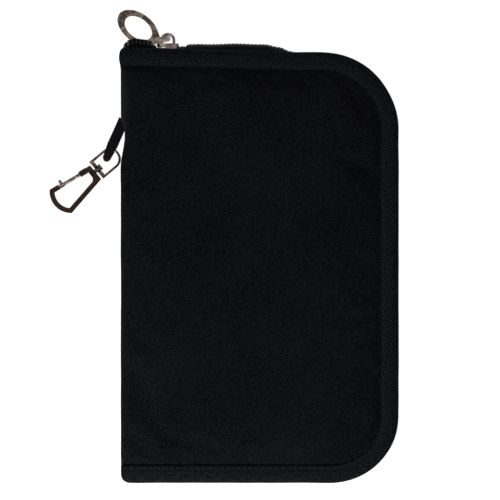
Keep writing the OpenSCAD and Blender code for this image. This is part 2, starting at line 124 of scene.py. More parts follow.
class WalletSizes(bpy.types.PropertyGroup):
    """Sizes of the fabric, the zip and the stitching"""

    corner_top: length("Slider corner", "Corner radius at the slider end", 33)
    corner_bottom: length("Far corner", "Corner radius at the far end", 28)
    spine_corner: length("Spine corner", "Corner radius at the far end of the spine", 4)
    slider_corner: length("Slider spine corner", "Corner radius of the spine by the slider", 2.4)
    drawn_in: length("Drawn in", "How far the strap draws the spine in", 1.7)
    binding_width: length("Binding", "Width of the binding tape on the face", 7.3)
    crown: length("Crown", "How far the padding may lift a panel", 1.5)
    roll: length("Roll", "Radius of the fold over the spine", 2.4)
    lean: length("Lean", "How far the slider end rises at the spine", 1.5)
    tooth_pitch: length("Tooth pitch", "Distance between two teeth of a row", 1.6)
    tooth_width: length("Tooth width", "Width of one tooth along the row", 1.0)
    stitch_pitch: length("Stitch pitch", "Distance between two stitches", 2.7)
    stitch_length: length("Stitch length", "Length of thread in sight", 2.0)
    thread: length("Thread", "Diameter of the sewing thread", 0.36)
    strap_width: length("Strap", "Width of the hook's strap", 4)
    web: length("Webbing", "Thickness of the webbing", 0.8)
    spring_wire: length("Spring wire", "Diameter of the spring's wire", 0.38)
    spring_turns: IntProperty(
        name="Spring turns", description="Turns in the bolt's spring", default=17, min=3
    )
    strap_place: length("Strap place", "How far up the spine the strap leaves it", 59.2)
    strap_reach: length("Strap reach", "From the spine to the far end of the fold", 16.9)
    strap_heading: turn("Strap heading", "Direction of the strap from the spine", 246)
    spring_length: length("Spring length", "Length of the bolt's spring at rest", 7.4)
    bolt_heading: turn("Bolt heading", "Direction in which the bolt draws back", 31)
    curl: turn("Curl", "How far the open zip row turns out at the spine end", 84)


class WalletColours(bpy.types.PropertyGroup):
    """Colours of the fabrics, the nylon and the metals"""

    shell: colour("Shell", "Woven outer fabric", (0.0056, 0.0060, 0.0068))
    binding: colour("Binding", "Herringbone tape", (0.0056, 0.0064, 0.0077))
    thread: colour("Thread", "Sewing thread", (0.014, 0.016, 0.018))
    lining: colour("Lining", "Fabric inside the covers", (0.012, 0.013, 0.016))
    tape: colour("Zip tape", "Woven tape of the zip", (0.006, 0.006, 0.007))
    coil: colour("Coil", "Nylon teeth", (0.003, 0.0033, 0.004))
    webbing: colour("Webbing", "Strap of the hook", (0.006, 0.006, 0.007))
    nickel: colour("Nickel", "Bright nickel plate", (0.21, 0.178, 0.150))
    # painted dark reflection: the hook frame's nickel is made dark to stand in for the dark
    # surroundings that its flat faces reflect; the warm tint is the plate's own
    dark_nickel: colour("Dark nickel", "Nickel plate with painted dark reflection", (0.042, 0.023, 0.017))
    old_nickel: colour("Old nickel", "Clouded plate of the puller", (0.095, 0.072, 0.057))
    board: colour("Board", "Stiffener in a cover", (0.45, 0.45, 0.42))
    floor: colour("Floor", "Studio floor", (0.5, 0.5, 0.5))


def sizes():
    return bpy.context.scene.wallet_sizes


def colours():
    return bpy.context.scene.wallet_colours


# ---- shader maths ----


class Wire:
    """A node socket that takes part in Python expressions on values."""

    def __init__(self, nodes, socket):
        self.nodes = nodes
        self.socket = socket

    def maths(self, operation, *others):
        made = self.nodes.add("ShaderNodeMath", {"operation": operation}, (self, *others))
        return made.first()

    def __add__(self, other):
        return self.maths("ADD", other)

    def __sub__(self, other):
        return self.maths("SUBTRACT", other)

    def __mul__(self, other):
        return self.maths("MULTIPLY", other)

    def __truediv__(self, other):
        return self.maths("DIVIDE", other)

    def __radd__(self, other):
        return self + other

    def __rmul__(self, other):
        return self * other

    def __rsub__(self, other):
        return self.nodes.number("SUBTRACT", other, self)

    def __rtruediv__(self, other):
        return self.nodes.number("DIVIDE", other, self)

    def __abs__(self):
        return self.maths("ABSOLUTE")


class Made:
    """A node that was added, with its outputs by name."""

    def __init__(self, nodes, node):
        self.nodes = nodes
        self.node = node

    def first(self):
        return Wire(self.nodes, self.node.outputs[0])

    def out(self, name):
        return Wire(self.nodes, self.node.outputs[name])


class Nodes:
    """The node tree of one material."""

    def __init__(self, name):
        self.material = bpy.data.materials.new(name)
        self.material.use_nodes = True
        self.tree = self.material.node_tree
        self.tree.nodes.clear()

    def add(self, kind, settings=None, inputs=()):
        node = self.tree.nodes.new(kind)
        for key, value in (settings or {}).items():
            if key == "stops":
                self.ramp(node, value)
            else:
                setattr(node, key, value)
        pairs = inputs.items() if isinstance(inputs, dict) else enumerate(inputs)
        for key, value in pairs:
            self.feed(node.inputs[key], value)
        return Made(self, node)

    def ramp(self, node, stops):
        elements = node.color_ramp.elements
        while len(elements) < len(stops):
            elements.new(0.5)
        for element, (place, shade) in zip(elements, stops):
            element.position = place
            element.color = (*shade, 1)

    def feed(self, socket, value):
        if isinstance(value, Wire):
            self.tree.links.new(value.socket, socket)
        else:
            socket.default_value = value

    def number(self, operation, *values):
        return self.add("ShaderNodeMath", {"operation": operation}, values).first()

    def place(self):
        """Object coordinates as three values."""
        found = self.add("ShaderNodeTexCoord").out("Object")
        split = self.add("ShaderNodeSeparateXYZ", inputs=(found,))
        return split.out("X"), split.out("Y"), split.out("Z")

    def run(self):
        """The piece's own map as two values: along it and across it."""
        found = self.add("ShaderNodeUVMap", {"uv_map": "run"}).out("UV")
        split = self.add("ShaderNodeSeparateXYZ", inputs=(found,))
        return split.out("X"), split.out("Y")

    def noise(self, scale, detail=2.0, roughness=0.5):
        spot = self.add("ShaderNodeTexCoord").out("Object")
        made = self.add(
            "ShaderNodeTexNoise",
            inputs={"Vector": spot, "Scale": scale, "Detail": detail, "Roughness": roughness},
        )
        return made.out("Fac")

    def shade(self, colour_value, factor, low, high):
        """colour_value made darker and lighter as factor goes from 0 to 1."""
        mix = self.add(
            "ShaderNodeMix",
            {"data_type": "RGBA"},
            {
                "Factor": factor,
                "A": (*[c * low for c in colour_value], 1),
                "B": (*[min(c * high, 1) for c in colour_value], 1),
            },
        )
        return Wire(self, mix.node.outputs["Result"])

    def bump(self, height, distance, strength=1.0):
        return self.add(
            "ShaderNodeBump",
            inputs={"Height": height, "Distance": distance, "Strength": strength},
        ).out("Normal")

    def finish(self, **inputs):
        """The shader itself. Names are the sockets' names with underscores."""
        named = {key.replace("_", " "): value for key, value in inputs.items()}
        shader = self.add("ShaderNodeBsdfPrincipled", inputs=named)
        self.add("ShaderNodeOutputMaterial", inputs={"Surface": shader.first()})
        return self.material


def nearness(value, centre, reach):
    """1 at the centre, falling to 0 at the reach."""
    return (1 - abs(value - centre) / reach).maths("MAXIMUM", 0.0)


def wave(value, pitch):
    """0 to 1 and back once in each pitch."""
    return (value * (2 * math.pi / pitch)).maths("COSINE") * 0.5 + 0.5


def thread_top(value, pitch):
    """The round top of threads laid side by side, one in each pitch."""
    return abs((value * (math.pi / pitch)).maths("SINE"))


def stretched(value, gain):
    """A noise value with its contrast raised, kept from 0 to 1."""
    grown = (value - 0.5) * gain + 0.5
    return grown.maths("MINIMUM", 1.0).maths("MAXIMUM", 0.0)


def zigzag(value, width):
    return value.maths("PINGPONG", width)


# ---- materials ----

WEAVE_PITCH = 0.62 * MM
PAINTED_SPINE_HIGHLIGHT = (69 * MM, 13 * MM)  # middle and reach of the painted highlight along the spine, a lighter patch where the fabric rolls over the spine edge toward the key light


def cached(make):
    """A material is made once and then shared."""

    def get():
        name = f"wallet_{make.__name__}"
        found = bpy.data.materials.get(name)
        return found or make(Nodes(name))

    return get


def plain_weave(x, y, pitch):
    """Height of a plain weave: warp and weft take turns on top."""
    warp = thread_top(x, pitch)
    weft = thread_top(y, pitch)
    turns = (x * (math.pi / pitch)).maths("SINE") * (y * (math.pi / pitch)).maths("SINE")
    over = turns.maths("GREATER_THAN", 0.0)
    return warp * weft * 0.35 + warp * over * 0.65 + weft * (1 - over) * 0.65


@cached
def shell_cloth(nodes):
    x, y, _ = nodes.place()
    weave = plain_weave(x, y, WEAVE_PITCH)
    slant = wave(x + y, 1.6 * MM)
    patches = stretched(nodes.noise(38.0, 3.0), 2.0)
    fine = nodes.noise(1150.0, 2.0)
    # painted highlight: a lighter patch by the spine edge, standing in for the key light that the
    # roll over the spine catches
    painted_highlight = nearness(x, LEFT, 4 * MM) * nearness(y, *PAINTED_SPINE_HIGHLIGHT)
    speck = stretched(fine, 3.4)
    light = weave * 0.15 + slant * 0.5 + speck * 0.6 - 0.12
    tone = light * 0.8 + patches * 0.2 + painted_highlight * 1.6
    return nodes.finish(
        Base_Color=nodes.shade(colours().shell, tone, 0.0, 2.1),
        Roughness=0.78 + fine * 0.15,
        Specular_IOR_Level=0.02,
        Normal=nodes.bump(weave * 0.7 + slant * 0.3, 0.14 * MM, 0.8),
    )


@cached
def spine_cloth(nodes):
    _, y, z = nodes.place()
    # painted highlight: the same lighter patch along the spine, standing in for key light caught
    # on the roll
    painted_highlight = nearness(y, *PAINTED_SPINE_HIGHLIGHT)
    weave = plain_weave(y, z, WEAVE_PITCH)
    fine = nodes.noise(900.0, 2.0)
    patches = nodes.noise(70.0, 3.0)
    light = weave * 0.5 + fine * 0.25 + patches * 0.25 + painted_highlight * 0.4
    return nodes.finish(
        Base_Color=nodes.shade(colours().shell, light, 0.3, 2.0),
        Roughness=0.78 + fine * 0.15,
        Specular_IOR_Level=0.02,
        Normal=nodes.bump(weave, 0.14 * MM, 0.8),
    )


@cached
def herringbone(nodes):
    along, across = nodes.run()
    rib = wave(along + zigzag(across, 1.45 * MM), 1.3 * MM)
    column = thread_top(across, 1.45 * MM)
    fine = nodes.noise(1100.0, 2.0)
    speck = stretched(fine, 3.4)
    light = rib * 0.6 + column * 0.1 + speck * 0.5 - 0.15
    return nodes.finish(
        Base_Color=nodes.shade(colours().binding, light, 0.0, 3.0),
        Roughness=0.74 + fine * 0.15,
        Specular_IOR_Level=0.025,
        Normal=nodes.bump(rib * 0.8 + column * 0.2, 0.16 * MM, 0.9),
    )


@cached
def sewing_thread(nodes):
    x, y, z = nodes.place()
    twist = wave(x + y + z, 0.3 * MM)
    return nodes.finish(
        Base_Color=nodes.shade(colours().thread, twist, 0.6, 1.6),
        Roughness=0.6,
        Specular_IOR_Level=0.05,
        Normal=nodes.bump(twist, 0.05 * MM, 0.6),
    )


@cached
def lining_cloth(nodes):
    x, y, _ = nodes.place()
    weave = plain_weave(x, y, 0.4 * MM)
    patches = nodes.noise(70.0, 3.0)
    fine = nodes.noise(1200.0, 2.0)
    return nodes.finish(
        Base_Color=nodes.shade(
            colours().lining, weave * 0.5 + patches * 0.25 + fine * 0.25, 0.6, 1.5
        ),
        Roughness=0.62 + fine * 0.15,
        Specular_IOR_Level=0.08,
        Normal=nodes.bump(weave, 0.08 * MM, 0.6),
    )


@cached
def zip_tape_cloth(nodes):
    along, across = nodes.run()
    rib = wave(along + across, 0.7 * MM)
    cords = thread_top(across, 0.9 * MM)
    fine = nodes.noise(1200.0, 2.0)
    return nodes.finish(
        Base_Color=nodes.shade(colours().tape, rib * 0.5 + cords * 0.2 + fine * 0.3, 0.5, 1.8),
        Roughness=0.72 + fine * 0.12,
        Specular_IOR_Level=0.03,
        Normal=nodes.bump(rib * 0.5 + cords * 0.5, 0.12 * MM, 0.8),
    )


@cached
def coil_nylon(nodes):
    fine = nodes.noise(700.0, 2.0)
    streak = nodes.noise(150.0, 4.0)
    return nodes.finish(
        Base_Color=nodes.shade(colours().coil, streak, 0.7, 1.4),
        Roughness=0.24 + fine * 0.12,
        Specular_IOR_Level=0.5,
        Normal=nodes.bump(fine, 0.02 * MM, 0.4),
    )


def plated(nodes, tint, polish, low=0.72, high=1.25):
    """Nickel plate: faint hairlines, slight clouding and small pits."""
    x, y, z = nodes.place()
    cloud = stretched(nodes.noise(520.0, 3.0), 5.0)
    grain = nodes.noise(1800.0, 2.0)
    hair = wave((x * 0.6 + y + z * 0.8) + cloud * 0.4 * MM, 0.22 * MM)
    return nodes.finish(
        Base_Color=nodes.shade(tint, cloud * 0.7 + hair * 0.3, low, high),
        Metallic=1.0,
        Roughness=polish + cloud * 0.12 + hair * 0.03,
        Normal=nodes.bump(grain * 0.6 + hair * 0.4, 0.012 * MM, 0.5),
    )


@cached
def nickel(nodes):
    return plated(nodes, colours().nickel, 0.14, 0.4, 2.3)

# painted dark reflection: the frame's plate gets a dark base colour in place of the dark
# surroundings it reflects

@cached
def dark_nickel(nodes):
    return plated(nodes, colours().dark_nickel, 0.17)


@cached
def old_nickel(nodes):
    return plated(nodes, colours().old_nickel, 0.16, 0.3, 3.2)


@cached
def webbing(nodes):
    along, across = nodes.run()
    ribs = thread_top(along, 0.62 * MM)
    warp = wave(across, 0.5 * MM)
    fine = nodes.noise(1300.0, 2.0)
    return nodes.finish(
        Base_Color=nodes.shade(colours().webbing, ribs * 0.6 + warp * 0.1 + fine * 0.3, 0.1, 2.6),
        Roughness=0.7 + fine * 0.15,
        Specular_IOR_Level=0.03,
        Normal=nodes.bump(ribs * 0.8 + warp * 0.2, 0.18 * MM, 0.9),
    )


@cached
def elastic_knit(nodes):
    along, across = nodes.run()
    ribs = thread_top(across, 0.8 * MM)
    stitches = wave(along + zigzag(across, 0.4 * MM), 0.55 * MM)
    fine = nodes.noise(1300.0, 2.0)
    return nodes.finish(
        Base_Color=nodes.shade(
            colours().lining, ribs * 0.4 + stitches * 0.4 + fine * 0.2, 0.5, 1.6
        ),
        Roughness=0.75 + fine * 0.1,
        Specular_IOR_Level=0.03,
        Normal=nodes.bump(ribs * 0.6 + stitches * 0.4, 0.15 * MM, 0.9),
    )


@cached
def stiff_board(nodes):
    fine = nodes.noise(500.0, 3.0)
    return nodes.finish(
        Base_Color=nodes.shade(colours().board, fine, 0.85, 1.1),
        Roughness=0.5 + fine * 0.1,
        Normal=nodes.bump(fine, 0.03 * MM, 0.3),
    )


@cached
def studio_floor(nodes):
    soft = nodes.noise(3.0, 2.0)
    return nodes.finish(
        Base_Color=nodes.shade(colours().floor, soft, 0.995, 1.0),
        Roughness=0.9,
        Specular_IOR_Level=0.0,
        Emission_Color=(1, 1, 1, 1),
        Emission_Strength=0.9,
    )


# ---- making pieces ----


def smooth_step(value, low, high):
    t = min(max((value - low) / (high - low), 0), 1)
    return t * t * (3 - 2 * t)


def blend_value(a, b, t):
    return a + (b - a) * t


def bell(value, centre, reach):
    return math.exp(-(((value - centre) / reach) ** 2))


def lean_at(x):
    """How far the edge at the slider end rises at x: up at the spine, down past the middle."""
    middle = 15 * MM
    dip = -0.6 * MM
    if x < middle:
        return blend_value(sizes().lean, dip, smooth_line(x, LEFT, middle))
    return dip * (1 - smooth_step(x, middle, RIGHT))


def smooth_line(value, low, high):
    return min(max((value - low) / (high - low), 0), 1)


def settle(co):
    """Moves a point of the covers the way the sewn wallet lies: its slider end leans, its spine
    is drawn in where the strap pulls and stands out near the slider, its two spine corners are
    round, and its edges wander a little."""
    s = sizes()
    x, y, z = co
    for corner_y, way, radius in ((TOP, 1, s.slider_corner), (BOTTOM, -1, s.spine_corner)):
        u = (LEFT + radius - x) / radius
        v = (y - corner_y) * way / radius + 1
        if 0 < u <= 1.2 and 0 < v <= 1.2:
            x = LEFT + radius - radius * u * math.sqrt(max(1 - v * v / 2, 0.2))
            y = corner_y + way * radius * (v * math.sqrt(max(1 - u * u / 2, 0.2)) - 1)
    y += lean_at(x) * smooth_step(y, 60 * MM, 82 * MM)
    near_spine = 1 - smooth_step(x, LEFT, LEFT + 9 * MM)
    short_side = smooth_step(-y, -62.0 * MM, -56.0 * MM)
    long_side = 1 - smooth_step(-y, -55.0 * MM, -41 * MM)
    x += s.drawn_in * near_spine * short_side * long_side
    x -= 0.7 * MM * near_spine * bell(y, 86.5 * MM, 3 * MM)
    wander = noise.noise(Vector((x * 90, y * 90, 3.0))) * 0.16 * MM
    return Vector((x + wander, y + wander * smooth_step(abs(y), 60 * MM, 80 * MM), z))


def settle_all(bm):
    for v in bm.verts:
        v.co = settle(v.co)


def add_piece(name, bm, material, body, stands_for, sharp):
    """Turns a bmesh into a finished piece. It rides on body, when one is given."""
    bmesh.ops.recalc_face_normals(bm, faces=bm.faces)
    mesh = bpy.data.meshes.new(name)
    bm.to_mesh(mesh)
    bm.free()
    mesh.shade_smooth()
    mesh.set_sharp_from_angle(angle=math.radians(sharp))
    mesh.materials.append(material)
    piece = bpy.data.objects.new(name, mesh)
    bpy.context.scene.collection.objects.link(piece)
    if stands_for:
        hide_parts(*stands_for)
    if body:
        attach(piece, body)
    return piece


def on_side(bm, side):
    """Pieces are modelled on the front cover. The back cover's are turned over."""
    if side == "back":
        bmesh.ops.transform(bm, matrix=TURN_OVER, verts=bm.verts)


def cover_body(side):
    return f"{side}_cover"


def outline_right(y, inset):
    """x of the opening edge at y, inset from the cover's outline."""
    s = sizes()
    for corner_y, way, full in ((TOP, 1, s.corner_top), (BOTTOM, -1, s.corner_bottom)):
        radius = full - inset
        depth = (y - (corner_y - way * full)) * way
        if depth > 0:
            return RIGHT - full + math.sqrt(max(radius**2 - depth**2, 0))
    return RIGHT - inset


def edge_distance(x, y, inset):
    """Distance from a point inside the cover to its three open edges, inset."""
    s = sizes()
    near = min(RIGHT - inset - x, TOP - inset - y, y - BOTTOM - inset)
    for corner_y, way, full in ((TOP, 1, s.corner_top), (BOTTOM, -1, s.corner_bottom)):
        depth = (y - (corner_y - way * full)) * way
        across = x - (RIGHT - full)
        if depth > 0 and across > 0:
            near = full - inset - math.hypot(across, depth)
    return near


def row_height(w, inset):
    """y of a row of a cover-shaped grid, with w from 0 to 1 and its rows close in the corners."""
    s = sizes()
    low = s.corner_bottom - inset
    high = s.corner_top - inset
    straight = TOP - BOTTOM - 2 * inset - low - high
    total = low * math.pi / 2 + straight + high * math.pi / 2
    run = w * total
    if run < low * math.pi / 2:
        return BOTTOM + inset + low * (1 - math.cos(run / low))
    run -= low * math.pi / 2
    if run < straight:
        return BOTTOM + inset + low + run
    run -= straight
    return BOTTOM + inset + low + straight + high * math.sin(run / high)


def cover_grid(inset, left, cell):
    """A flat grid with the cover's outline, inset on its open edges and starting at left."""
    s = sizes()
    wide = RIGHT - inset - left
    tall = TOP - BOTTOM - 2 * inset + (s.corner_top + s.corner_bottom) * 0.5
    bm = bmesh.new()
    bmesh.ops.create_grid(
        bm, x_segments=round(wide / cell), y_segments=round(tall / cell), size=0.5
    )
    for v in bm.verts:
        y = row_height(v.co.y + 0.5, inset)
        v.co = (blend_value(left, outline_right(y, inset), v.co.x + 0.5), y, 0)
    return bm


def thicken(bm, depth, facing):
    """Gives a sheet its thickness, on the side away from the direction that it faces."""
    faces = list(bm.faces)
    bmesh.ops.recalc_face_normals(bm, faces=faces)
    if sum(f.normal.dot(facing) * f.calc_area() for f in faces) < 0:
        bmesh.ops.reverse_faces(bm, faces=faces)
    bmesh.ops.solidify(bm, geom=faces, thickness=depth)


def route(start, end, step, offset=0.0):
    """Stations along the three open edges, from x = start at the slider end round to x = end at
    the far end. Each is (place on the outline, outward direction, distance run)."""
    s = sizes()
    stations = []

    def add(place, outward):
        run = 0.0
        if stations:
            run = stations[-1][2] + (place - stations[-1][0]).length
        if not stations or run - stations[-1][2] > 1e-7:
            stations.append((place, outward, run))

    def straight(a, b, outward):
        count = max(round((b - a).length / step), 1)
        for i in range(count + 1):
            add(a.lerp(b, i / count) + outward * offset, outward)

    def corner(centre, radius, begin):
        count = max(round((radius + offset) * math.pi / 2 / step), 6)
        for i in range(count + 1):
            angle = begin - math.pi / 2 * i / count
            outward = Vector((math.cos(angle), math.sin(angle), 0))
            add(centre + outward * (radius + offset), outward)

    top_r, low_r = s.corner_top, s.corner_bottom
    straight(Vector((start, TOP, 0)), Vector((RIGHT - top_r, TOP, 0)), Vector((0, 1, 0)))
    corner(Vector((RIGHT - top_r, TOP - top_r, 0)), top_r, math.pi / 2)
    straight(
        Vector((RIGHT, TOP - top_r, 0)), Vector((RIGHT, BOTTOM + low_r, 0)), Vector((1, 0, 0))
    )
    corner(Vector((RIGHT - low_r, BOTTOM + low_r, 0)), low_r, 0)
    straight(Vector((RIGHT - low_r, BOTTOM, 0)), Vector((end, BOTTOM, 0)), Vector((0, -1, 0)))
    return stations


def along_route(stations, pitch, start):
    """Evenly spaced stations on a route, the first of them at the distance start."""
    found = []
    target = start
    for (a, out_a, run_a), (b, out_b, run_b) in zip(stations, stations[1:]):
        while run_a <= target < run_b:
            t = (target - run_a) / (run_b - run_a)
            found.append((a.lerp(b, t), out_a.lerp(out_b, t).normalized(), target))
            target += pitch
    return found


def sweep(stations, profile, shape):
    """A closed strip that follows a route. profile is a ring of (out, up) points, and
    shape(station, out, up) gives each point's place. The piece's map holds its distances along
    and across."""
    bm = bmesh.new()
    along = bm.verts.layers.float.new("along")
    across = bm.verts.layers.float.new("across")
    index = bm.verts.layers.int.new("index")
    reach = [0.0]
    for a, b in zip(profile, profile[1:]):
        reach.append(reach[-1] + math.dist(a, b))
    total = reach[-1] + math.dist(profile[-1], profile[0])
    first = []
    for i, (out, up) in enumerate(profile):
        v = bm.verts.new(shape(stations[0], out, up))
        v[index] = i
        v[across] = reach[i]
        first.append(v)
    pairs = list(zip(first, first[1:] + first[:1]))
    edges = [bm.edges.new(pair) for pair in pairs]
    start_edges = list(edges)
    for station in stations[1:]:
        made = bmesh.ops.extrude_edge_only(bm, edges=edges)["geom"]
        edges = [g for g in made if isinstance(g, bmesh.types.BMEdge)]
        for v in (g for g in made if isinstance(g, bmesh.types.BMVert)):
            v.co = shape(station, *profile[v[index]])
            v[along] = station[2]
    bmesh.ops.contextual_create(bm, geom=start_edges)
    bmesh.ops.contextual_create(bm, geom=edges)
    layer = bm.loops.layers.uv.new("run")
    for face in bm.faces:
        spans = [v[across] for v in face.verts]
        closes = len(spans) == 4 and min(spans) == 0 and max(spans) == reach[-1]
        for loop in face.loops:
            v = loop.vert
            span = (v[across] or total) if closes else v[across]
            loop[layer].uv = (v[along], span)
    return bm


def cover_shape(station, out, up):
    place, outward, _ = station
    flat = place + outward * out
    return Vector((flat.x, flat.y, up))


def outlined(points):
    """Profile points in millimetres: out from the edge, and down from the face."""
    return [(out * MM, FACE_Z - down * MM) for out, down in points]


def rounded_copy(node, radius, material, body):
    """A CAD node with its sharp edges rounded."""
    sharp = math.radians(40)
    bm = bmesh.new()
    bm.from_mesh(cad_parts[node].data)
    bmesh.ops.remove_doubles(bm, verts=bm.verts, dist=2e-6)
    bmesh.ops.dissolve_limit(
        bm, angle_limit=math.radians(1.5), verts=bm.verts, edges=bm.edges
    )
    edges = [e for e in bm.edges if e.is_manifold and e.calc_face_angle() > sharp]
    bmesh.ops.bevel(
        bm,
        geom=edges,
        offset=radius,
        offset_type="OFFSET",
        segments=3,
        profile=0.5,
        affect="EDGES",
        clamp_overlap=True,
        material=-1,
    )
    piece = add_piece(f"{node}_plated", bm, material, body, (node,), 50)
    flats = piece.modifiers.new("Flats", "WEIGHTED_NORMAL")
    flats.weight = 90
    flats.keep_sharp = True


# ---- the covers ----

SETTLING_FRAMES = 20
UPWARDS = Vector((0, 0, 1))


def swell(bm, name, cap):
    """Lets a sewn sheet puff up over its padding, by a short cloth simulation."""
    mesh = bpy.data.meshes.new(name + "_flat")
    bm.to_mesh(mesh)
    bm.free()
    sheet = bpy.data.objects.new(name + "_flat", mesh)
    bpy.context.scene.collection.objects.link(sheet)
    sewn = sheet.vertex_groups.new(name="sewn")
    inset = sizes().binding_width
    for v in mesh.vertices:
        free = min(edge_distance(v.co.x, v.co.y, inset), v.co.x - LEFT)
        sewn.add([v.index], 1 - smooth_step(free, 0.5 * MM, 3.5 * MM), "REPLACE")
    cloth = sheet.modifiers.new("Cloth", "CLOTH")
    cloth.settings.quality = 8
    cloth.settings.mass = 0.25
    cloth.settings.tension_stiffness = 20
    cloth.settings.compression_stiffness = 20
    cloth.settings.shear_stiffness = 10
    cloth.settings.bending_stiffness = 2.5
    cloth.settings.air_damping = 4
    cloth.settings.vertex_group_mass = "sewn"
    cloth.settings.shrink_min = -0.006
    cloth.settings.use_pressure = True
    cloth.settings.uniform_pressure_force = 4
    cloth.settings.effector_weights.gravity = 0
    cloth.collision_settings.use_collision = False
    cloth.point_cache.frame_end = SETTLING_FRAMES
    scene = bpy.context.scene
    rest = [v.co.copy() for v in mesh.vertices]
    for number in range(1, SETTLING_FRAMES + 1):
        scene.frame_set(number)
    moved = sheet.evaluated_get(bpy.context.evaluated_depsgraph_get()).to_mesh()
    places = [v.co.copy() for v in moved.vertices]
    scene.frame_set(1)
    sheet.modifiers.clear()
    for v, was, now in zip(mesh.vertices, rest, places):
        shift = now - was
        lift = min(max(shift.z, -0.2 * MM), cap)
        v.co = was + Vector((shift.x * 0.5, shift.y * 0.5, lift))
    out = bmesh.new()
    out.from_mesh(mesh)
    bpy.data.objects.remove(sheet)
    bpy.data.meshes.remove(mesh)
    return out


def crease(x, y, begin, end, width, depth):
    """Depth of a soft crease from one point to another."""
    a, b = Vector(begin) * MM, Vector(end) * MM
    way = b - a
    t = (Vector((x, y)) - a).dot(way) / way.length_squared
    off = (Vector((x, y)) - a - way * min(max(t, 0), 1)).length
    return depth * MM * bell(off, 0, width * MM) * math.sin(math.pi * min(max(t, 0), 1)) ** 0.7


def roll_over_spine(v):
    """Bends the sheet down over the spine's edge."""
    radius = sizes().roll
    start = LEFT + radius
    beyond = start - v.co.x
    if beyond <= 0:
        return
    angle = min(beyond / radius, math.pi / 2)
    spare = beyond - radius * math.pi / 2
    lift = v.co.z
    v.co.x = start - (radius + lift) * math.sin(angle)
    v.co.z = lift - (radius + lift) * (1 - math.cos(angle)) - max(spare, 0)


def outer_panel(side):
    """The padded panel of one cover: sewn under the binding and rolled over the spine."""
    s = sizes()
    tuck = 1.2 * MM
    floor_gap = 0.25 * MM
    seam_depth = 0.75 * MM
    inset = s.binding_width - tuck
    wrap = s.roll * (math.pi / 2 - 1) + COVER_T - s.roll - floor_gap
    bm = cover_grid(inset, LEFT - wrap, 2 * MM)
    bm = swell(bm, f"{side}_panel", s.crown)
    for v in bm.verts:
        x, y = v.co.x, v.co.y
        v.co.z -= seam_depth * (1 - smooth_step(edge_distance(x, y, s.binding_width), 0, 3 * MM))
        v.co.z -= crease(x, y, (36, 45), (51, 36), 2.6, 0.9)
        v.co.z -= crease(x, y, (28, -23), (51, -19), 2.4, 0.7)
        v.co.z += noise.noise(Vector((x * 45, y * 45, 1.0))) * 0.12 * MM
        if side == "back":
            v.co.z = min(v.co.z, 0)
        roll_over_spine(v)
        v.co.z += FACE_Z
    thicken(bm, 0.7 * MM, UPWARDS)
    on_side(bm, side)
    settle_all(bm)
    piece = add_piece(
        f"{side}_panel_cloth", bm, shell_cloth(), cover_body(side),
        (f"{side}_outer_panel",), 60,
    )
    smooth = piece.modifiers.new("Smooth", "SUBSURF")
    smooth.levels = smooth.render_levels = 1


BINDING_PROFILE = [
    (-7.25, 0.75), (-7.3, 0.3), (-7.05, 0.1), (-6.6, 0.1), (-6.2, 0.22), (-5.8, 0.1),
    (-4.6, 0.0), (-3.2, 0.02), (-2.0, 0.2), (-1.0, 0.62), (-0.35, 1.25), (-0.03, 2.0),
    (-0.1, 2.8), (-0.5, 3.4), (-1.2, 3.66), (-3.0, 3.7), (-6.2, 3.66), (-6.6, 3.75),
    (-7.1, 3.66), (-7.2, 3.3), (-5.0, 3.15), (-1.4, 3.15), (-0.75, 2.4), (-1.2, 1.4),
    (-3.0, 0.7), (-5.0, 0.6),
]
STITCH_OUT = -6.2  # the stitches' place in that profile, in its groove


def binding(side):
    """The folded tape that wraps the three open edges of one cover."""
    line = route(LEFT + 0.2 * MM, LEFT + 0.2 * MM, 1 * MM)
    bm = sweep(line, outlined(BINDING_PROFILE), cover_shape)
    on_side(bm, side)
    settle_all(bm)
    for v in bm.verts:
        v.co.z = max(v.co.z, 0.02 * MM)
    add_piece(
        f"{side}_binding_tape", bm, herringbone(), cover_body(side),
        (f"{side}_binding",), 60,
    )


def add_stitch(bm, place, axes, size):
    """One stitch: a round grain of thread that lies along the first of its axes."""
    made = bmesh.ops.create_uvsphere(bm, u_segments=6, v_segments=5, radius=0.5)
    turned = Matrix(axes).transposed().to_4x4()
    grown = Matrix.Diagonal((*size, 1))
    lay = Matrix.Rotation(math.pi / 2, 4, "Y")
    matrix = Matrix.Translation(place) @ turned @ grown @ lay
    bmesh.ops.transform(bm, matrix=matrix, verts=made["verts"])


def stitch_row(side, out, down, name, phase):
    """A row of stitches that follows the binding."""
    s = sizes()
    bm = bmesh.new()
    line = route(LEFT + 1.5 * MM, LEFT + 1.5 * MM, 2 * MM, out * MM)
    for place, outward, _ in along_route(line, s.stitch_pitch, phase * s.stitch_pitch):
        tangent = Vector((outward.y, -outward.x, 0))
        centre = (place.x, place.y, FACE_Z - down * MM)
        size = (s.stitch_length, s.thread * 1.15, s.thread)
        add_stitch(bm, centre, (tangent, -outward, UPWARDS), size)
    on_side(bm, side)
    settle_all(bm)
    add_piece(name, bm, sewing_thread(), cover_body(side), (), 80)


def lining(side):
    """The lining on the inside of a cover, tucked under the binding."""
    s = sizes()
    node = f"{side}_lining"
    deep = (FACE_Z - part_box("front_lining")[0].z) / MM
    inset, left = 2.0 * MM, LEFT + 0.6 * MM
    bm = cover_grid(inset, left, 3 * MM)
    for v in bm.verts:
        soft = noise.noise(Vector((v.co.x * 60, v.co.y * 60, 7.0))) * 0.1 * MM
        v.co.z = FACE_Z - (deep - 0.5) * MM + soft
    thicken(bm, 0.4 * MM, UPWARDS)
    on_side(bm, side)
    settle_all(bm)
    piece = add_piece(
        f"{side}_lining_cloth", bm, lining_cloth(), cover_body(side), (node,), 60
    )
    wide, tall = RIGHT - inset - left, TOP - BOTTOM - 2 * inset
    corners = (1 - math.pi / 4) * ((s.corner_top - inset) ** 2 + (s.corner_bottom - inset) ** 2)
    wide * tall - corners


# ---- spine ----


